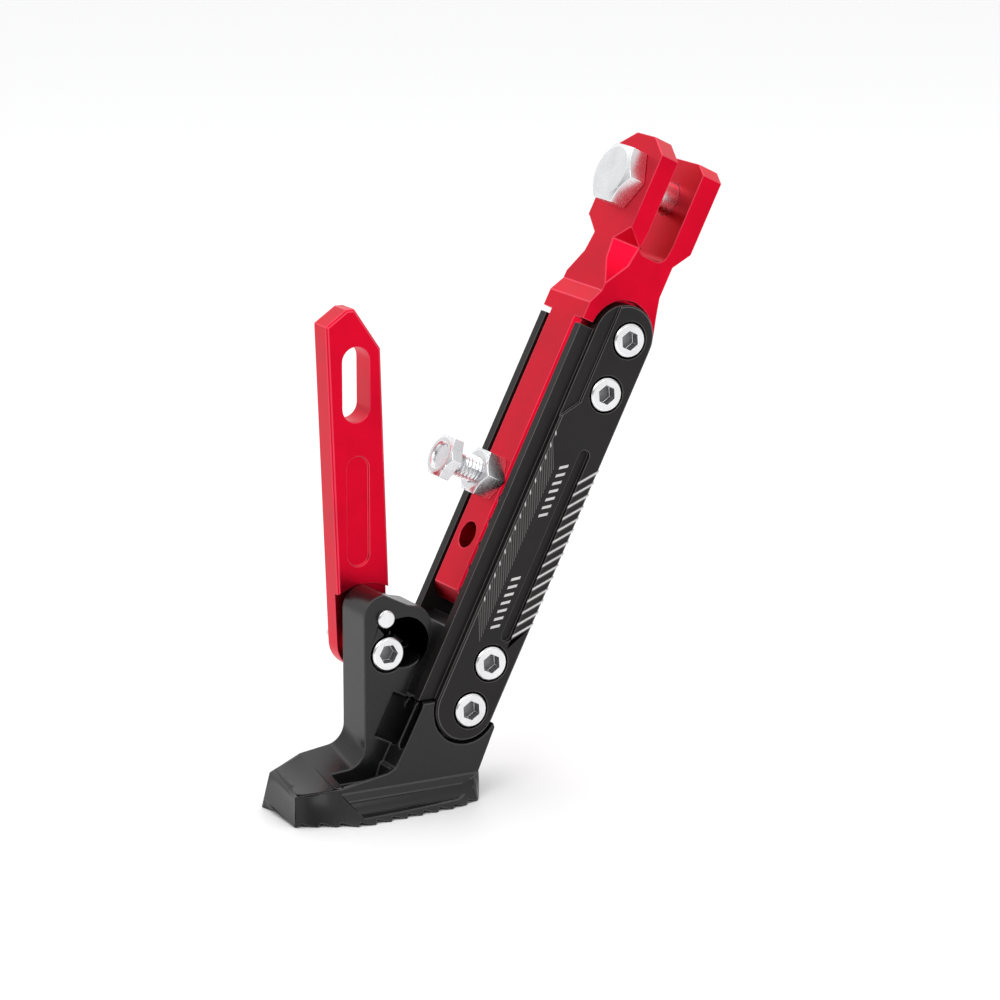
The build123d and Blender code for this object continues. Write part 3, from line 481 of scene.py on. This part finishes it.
def bar_row_tree():
    """Tree that lays slanting bars in a row: hatching, feathering, nicks and dashes."""
    if "bar_row" in bpy.data.node_groups:
        return bpy.data.node_groups["bar_row"]
    tree = bpy.data.node_groups.new("bar_row", "GeometryNodeTree")
    face = tree.interface
    face.new_socket("Geometry", in_out="INPUT", socket_type="NodeSocketGeometry")
    face.new_socket("Count", in_out="INPUT", socket_type="NodeSocketInt")
    for name in ("Pitch", "Length", "Rise", "Width", "Thickness"):
        face.new_socket(name, in_out="INPUT", socket_type="NodeSocketFloat")
    face.new_socket("Finish", in_out="INPUT", socket_type="NodeSocketMaterial")
    face.new_socket("Geometry", in_out="OUTPUT", socket_type="NodeSocketGeometry")
    new = tree.nodes.new
    given, result = new("NodeGroupInput"), new("NodeGroupOutput")
    step, row = new("ShaderNodeCombineXYZ"), new("GeometryNodeMeshLine")
    down = new("ShaderNodeMath")
    down.operation = "MULTIPLY"
    down.inputs[1].default_value = -1
    size, bar = new("ShaderNodeCombineXYZ"), new("GeometryNodeMeshCube")
    place, parts = new("GeometryNodeInputPosition"), new("ShaderNodeSeparateXYZ")
    slope, lift = new("ShaderNodeMath"), new("ShaderNodeMath")
    slope.operation = "DIVIDE"
    lift.operation = "MULTIPLY"
    offset, shear = new("ShaderNodeCombineXYZ"), new("GeometryNodeSetPosition")
    copies = new("GeometryNodeInstanceOnPoints")
    real, paint = new("GeometryNodeRealizeInstances"), new("GeometryNodeSetMaterial")
    wire = tree.links.new
    wire(given.outputs["Pitch"], down.inputs[0])
    wire(down.outputs[0], step.inputs["Y"])
    wire(given.outputs["Count"], row.inputs["Count"])
    wire(step.outputs[0], row.inputs["Offset"])
    wire(given.outputs["Length"], size.inputs["X"])
    wire(given.outputs["Width"], size.inputs["Y"])
    wire(given.outputs["Thickness"], size.inputs["Z"])
    wire(size.outputs[0], bar.inputs["Size"])
    wire(place.outputs[0], parts.inputs[0])
    wire(given.outputs["Rise"], slope.inputs[0])
    wire(given.outputs["Length"], slope.inputs[1])
    wire(slope.outputs[0], lift.inputs[0])
    wire(parts.outputs["X"], lift.inputs[1])
    wire(lift.outputs[0], offset.inputs["Y"])
    wire(bar.outputs["Mesh"], shear.inputs["Geometry"])
    wire(offset.outputs[0], shear.inputs["Offset"])
    wire(row.outputs["Mesh"], copies.inputs["Points"])
    wire(shear.outputs["Geometry"], copies.inputs["Instance"])
    wire(copies.outputs["Instances"], real.inputs["Geometry"])
    wire(real.outputs["Geometry"], paint.inputs["Geometry"])
    wire(given.outputs["Finish"], paint.inputs["Material"])
    wire(paint.outputs["Geometry"], result.inputs["Geometry"])
    return tree


def bar_row(name, place, finish, **sizes):
    """One row of slanting bars as a plain mesh, laid on a cover by its matrix."""
    piece = link(name, bpy.data.meshes.new(name))
    tree = bar_row_tree()
    nodes = piece.modifiers.new("row", "NODES")
    nodes.node_group = tree
    for socket in tree.interface.items_tree:
        if socket.in_out == "INPUT" and socket.name in sizes:
            nodes[socket.identifier] = sizes[socket.name]
        if socket.in_out == "INPUT" and socket.name == "Finish":
            nodes[socket.identifier] = material(finish)
    settle(piece)
    piece.data.transform(place)
    return piece


def join(name, pieces):
    """Joins plain meshes that share one body into one piece."""
    work = bmesh.new()
    materials = []
    for piece in pieces:
        start = len(work.faces)
        work.from_mesh(piece.data)
        work.faces.ensure_lookup_table()
        for face in work.faces[start:]:
            found = piece.data.materials[face.material_index]
            if found not in materials:
                materials.append(found)
            face.material_index = materials.index(found)
        bpy.data.objects.remove(piece)
    bmesh.ops.recalc_face_normals(work, faces=work.faces)
    mesh = bpy.data.meshes.new(name)
    work.to_mesh(mesh)
    work.free()
    for found in materials:
        mesh.materials.append(found)
    return link(name, mesh)


# ------------------------------------------------------------------ operators

class STAND_OT_arm(Operator):
    """Finish the red arm with its clevis"""
    bl_idname = "stand.arm"
    bl_label = "Arm"

    def execute(self, context):
        finish_node("arm", "red", "red_edge_wear_and_painted_highlight")
        return {"FINISHED"}


class STAND_OT_lever(Operator):
    """Finish the red kick lever"""
    bl_idname = "stand.lever"
    bl_label = "Kick lever"

    def execute(self, context):
        finish_node("kick_lever", "red", "red_edge_wear_and_painted_highlight")
        return {"FINISHED"}


class STAND_OT_shells(Operator):
    """Finish the two black shells"""
    bl_idname = "stand.shells"
    bl_label = "Shells"

    def execute(self, context):
        for node in ("near_shell", "far_shell"):
            finish_node(node, "black", "black_edge_painted_highlight", width=0.00014)
        return {"FINISHED"}


class STAND_OT_foot(Operator):
    """Finish the black foot"""
    bl_idname = "stand.foot"
    bl_label = "Foot"

    def execute(self, context):
        finish_node("foot", "coat", "coat_edge_painted_highlight", width=0.00035)
        return {"FINISHED"}


class STAND_OT_fasteners(Operator):
    """Finish bolts, screws, nuts, washers, clip, pin and bush"""
    bl_idname = "stand.fasteners"
    bl_label = "Fasteners"

    def execute(self, context):
        for node in (
            "pivot_bolt", "pivot_washer", "spring_stud_nut",
            "lever_washer", "lever_nut", "upper_clamp_nuts", "lower_clamp_nuts",
        ):
            finish_node(node, "zinc", "zinc_edge_painted_highlight", width=0.00015)
        for node in ("upper_clamp_screws", "lower_clamp_screws", "lever_pivot_screw"):
            finish_node(node, "stainless", "zinc_edge_painted_highlight", width=0.00015, adjust=paint_socket_shade)
        finish_node("spring_anchor_pin", "stainless", "zinc_edge_painted_highlight", width=0.00015)
        finish_node("pivot_clip", "spring", width=0.00008)
        finish_node("lever_bush", "bronze", width=0.0001)
        return {"FINISHED"}


class STAND_OT_stud(Operator):
    """Finish the spring stud and cut its thread"""
    bl_idname = "stand.stud"
    bl_label = "Spring stud"

    def execute(self, context):
        finish_node("spring_stud", "zinc", "zinc_edge_painted_highlight", width=0.00015, adjust=slim_shank)
        ridge = thread(
            "stud_thread", HOOK - FORWARD * THREAD_START, FORWARD, THREAD_LENGTH,
            RIDGE_ROOT, RIDGE_CREST, THREAD_PITCH, "zinc")
        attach(ridge, BODY_OF["spring_stud"])
        return {"FINISHED"}


class STAND_OT_spring(Operator):
    """Finish the lever's torsion spring"""
    bl_idname = "stand.spring"
    bl_label = "Lever spring"

    def execute(self, context):
        finish_node("lever_spring", "spring", width=0.00004, angle=50)
        return {"FINISHED"}


class STAND_OT_engraving(Operator):
    """Cut the bright pattern into both covers"""
    bl_idname = "stand.engraving"
    bl_label = "Engraving"

    def execute(self, context):
        cut = context.scene.stand_engraving
        for mirror, side in ((False, "near"), (True, "far")):
            def row(name, up, back, lift, finish, **sizes):
                place = leg_frame(up * MM, back * MM, COVER_FACE + lift * MM, mirror)
                return bar_row(side + name, place, finish, **sizes)

            dashes = {
                "Count": cut.dash_count, "Pitch": cut.dash_pitch,
                "Length": 2.6 * MM, "Rise": 1.6 * MM, "Width": 0.9 * MM, "Thickness": 0.03 * MM,
            }
            # up the leg, back and out of the cover's face, in millimetres, then the bar's own sizes
            rows = [
                row("_hatch", -83.95, 5.7, -0.19, "bright",
                    Count=cut.hatch_count, Pitch=cut.hatch_pitch,
                    Length=5.0 * MM, Rise=5.6 * MM, Width=0.85 * MM, Thickness=0.22 * MM),
                row("_feathers", -82, -8.6, -0.005, "fine",
                    Count=cut.feather_count, Pitch=cut.feather_pitch,
                    Length=4.2 * MM, Rise=-7.6 * MM, Width=0.42 * MM, Thickness=0.03 * MM),
                row("_nicks", -76, -10.6, -0.02, "bright",
                    Count=cut.hatch_count + 1, Pitch=cut.hatch_pitch,
                    Length=0.6 * MM, Rise=-0.9 * MM, Width=0.7 * MM, Thickness=0.1 * MM),
                row("_upper_dashes", -84, -3.6, -0.005, "bright", **dashes),
                row("_lower_dashes", -119, -3.6, -0.005, "bright", **dashes),
            ]
            engraving = join(side + "_engraving", rows)
            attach(engraving, BODY_OF["near_shell"])
        return {"FINISHED"}


# name, place in metres, size in metres, power in watts and colour of each lamp
LAMPS = (
    ("key", (-0.75, -0.55, 0.75), 0.6, 3.2, (1.0, 0.99, 0.97)),
    ("front", (0.25, -1.1, 0.35), 0.5, 1.6, (1.0, 1.0, 1.0)),
    ("top", (0.1, 0.3, 1.1), 0.8, 3.0, (0.98, 0.99, 1.0)),
)
LIGHT_BEHIND = 0.6           # how far the studio's brightest side lies behind the stand
LIGHT_ABOVE = 0.8            # and above it
DIM, BRIGHT = 0.30, 1.15     # strength of the studio's darkest and brightest sides
DIM_AT, BRIGHT_AT = -0.45, 0.75
SENSOR = 36                  # width of the camera's film in millimetres
FLOOR_HALF = 4               # half the floor's side in metres


def light_world(scene, back):
    """Studio light: bright overhead and behind the stand, dimmer on the camera's side."""
    world = bpy.data.worlds.new("studio")
    scene.world = world
    world.use_nodes = True
    tree = world.node_tree
    tree.nodes["Background"].inputs["Color"].default_value = (1, 1, 1, 1)
    place = tree.nodes.new("ShaderNodeTexCoord")
    dot = tree.nodes.new("ShaderNodeVectorMath")
    dot.operation = "DOT_PRODUCT"
    brightest = Vector((-back.x * LIGHT_BEHIND, -back.y * LIGHT_BEHIND, LIGHT_ABOVE))
    dot.inputs[1].default_value = brightest.normalized()
    ramp = tree.nodes.new("ShaderNodeMapRange")
    ramp.inputs["From Min"].default_value = DIM_AT
    ramp.inputs["From Max"].default_value = BRIGHT_AT
    ramp.inputs["To Min"].default_value = DIM
    ramp.inputs["To Max"].default_value = BRIGHT
    tree.links.new(place.outputs["Generated"], dot.inputs[0])
    tree.links.new(dot.outputs["Value"], ramp.inputs["Value"])
    tree.links.new(ramp.outputs["Result"], tree.nodes["Background"].inputs["Strength"])


class STAND_OT_stage(Operator):
    """Lay the floor, set the lights and the camera"""
    bl_idname = "stand.stage"
    bl_label = "Stage"

    def execute(self, context):
        stage = context.scene.stand_stage
        work = bmesh.new()
        bmesh.ops.create_grid(work, x_segments=1, y_segments=1, size=FLOOR_HALF)
        mesh = bpy.data.meshes.new("floor")
        work.to_mesh(mesh)
        work.free()
        mesh.transform(Matrix.Translation((0, 0, GROUND)))
        floor = link("floor", mesh)
        pale, tree, shader = new_material("pale_floor")
        shader.inputs["Base Color"].default_value = (0.93, 0.93, 0.935, 1)
        shader.inputs["Roughness"].default_value = 0.55
        mesh.materials.append(pale)

        aim = Vector(stage.aim)
        turn, tilt = stage.azimuth, stage.elevation
        back = Vector((sin(turn) * cos(tilt), -cos(turn) * cos(tilt), sin(tilt)))
        data = bpy.data.cameras.new("camera")
        data.lens = stage.lens
        data.sensor_width = SENSOR
        data.clip_start = 0.01
        data.clip_end = 50
        camera = bpy.data.objects.new("camera", data)
        camera.location = aim + back * (stage.width * stage.lens / SENSOR)
        camera.rotation_mode = "QUATERNION"
        camera.rotation_quaternion = (-back).to_track_quat("-Z", "Y")
        context.scene.collection.objects.link(camera)
        context.scene.camera = camera

        light_world(context.scene, back)
        context.scene.view_settings.view_transform = "Standard"

        for name, place, size, power, colour in LAMPS:
            lamp = bpy.data.lights.new(name, "AREA")
            lamp.size = size
            lamp.energy = power
            lamp.color = colour
            light = bpy.data.objects.new(name, lamp)
            light.location = place
            light.rotation_mode = "QUATERNION"
            light.rotation_quaternion = (aim - Vector(place)).to_track_quat("-Z", "Y")
            context.scene.collection.objects.link(light)
        return {"FINISHED"}


class STAND_PT_panel(Panel):
    """Settings and makers of the side stand"""
    bl_label = "Side Stand"
    bl_idname = "STAND_PT_panel"
    bl_space_type = "VIEW_3D"
    bl_region_type = "UI"
    bl_category = "Side Stand"

    def draw(self, context):
        for group in ("stand_finish", "stand_engraving", "stand_stage"):
            settings = getattr(context.scene, group)
            column = self.layout.column(align=True)
            for name in settings.__annotations__:
                column.prop(settings, name)
        for operator in OPERATORS:
            self.layout.operator(operator.bl_idname)


SETTINGS = (
    ("stand_finish", StandFinish),
    ("stand_engraving", StandEngraving),
    ("stand_stage", StandStage),
)
OPERATORS = (
    STAND_OT_arm,
    STAND_OT_lever,
    STAND_OT_shells,
    STAND_OT_foot,
    STAND_OT_fasteners,
    STAND_OT_stud,
    STAND_OT_spring,
    STAND_OT_engraving,
    STAND_OT_stage,
)


def register():
    """Registers the settings, the operators and the panel."""
    for name, group in SETTINGS:
        bpy.utils.register_class(group)
        setattr(bpy.types.Scene, name, PointerProperty(type=group))
    for operator in OPERATORS:
        bpy.utils.register_class(operator)
    bpy.utils.register_class(STAND_PT_panel)


def unregister():
    """Takes everything that register added away again."""
    bpy.utils.unregister_class(STAND_PT_panel)
    for operator in reversed(OPERATORS):
        bpy.utils.unregister_class(operator)
    for name, group in reversed(SETTINGS):
        delattr(bpy.types.Scene, name)
        bpy.utils.unregister_class(group)


def main():
    """Makes the whole stand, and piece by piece."""
    register()
    bpy.ops.stand.arm()
    bpy.ops.stand.lever()
    bpy.ops.stand.shells()
    bpy.ops.stand.foot()
    bpy.ops.stand.fasteners()
    bpy.ops.stand.stud()
    bpy.ops.stand.spring()
    bpy.ops.stand.engraving()
    bpy.ops.stand.stage()
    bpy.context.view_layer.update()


if __name__ == "__main__":
    main()
